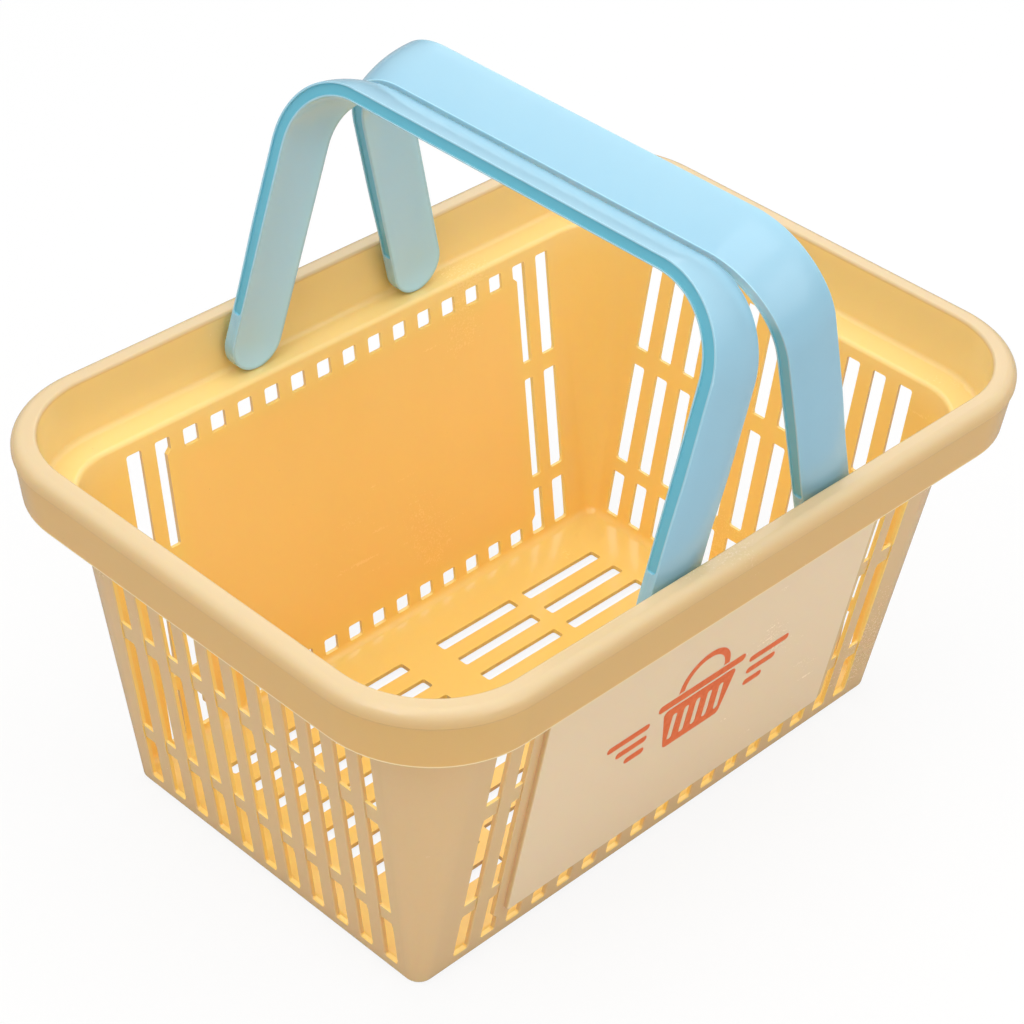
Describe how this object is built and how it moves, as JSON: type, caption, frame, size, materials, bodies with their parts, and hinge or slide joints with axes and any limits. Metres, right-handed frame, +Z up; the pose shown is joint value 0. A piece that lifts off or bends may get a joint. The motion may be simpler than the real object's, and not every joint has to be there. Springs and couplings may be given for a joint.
{
  "type": "shopping basket",
  "caption": "Store hand basket: slotted rectangular plastic tub with a deep rim and a pair of U-shaped carrying handles that fold out flat into the rim.",
  "frame": {"origin": "centre of the base, on the surface the basket stands on", "axes": "+X along the basket's long side, +Y across it, +Z up; the printed panel faces -Y"},
  "size_m": [0.4514, 0.3256, 0.3549],
  "materials": {
    "tub_plastic": "gloss moulded polypropylene, pastel yellow",
    "handle_plastic": "gloss moulded polypropylene, light blue",
    "print_ink": "printed orange ink"
  },
  "bodies": {
    "tub": {"basket_tub": "tub_plastic", "panel_print": "print_ink"},
    "left_handle": {"left_handle": "handle_plastic"},
    "right_handle": {"right_handle": "handle_plastic"}
  },
  "joints": [
    {"name": "left_handle_fold", "type": "hinge", "parent": "tub", "child": "left_handle", "pos_m": [-0.056, 0, 0.2018], "axis": [0, 1, 0], "range_deg": [-106.8, 0]},
    {"name": "right_handle_fold", "type": "hinge", "parent": "tub", "child": "right_handle", "pos_m": [0.056, 0, 0.2018], "axis": [0, 1, 0], "range_deg": [0, 104.3]}
  ]
}
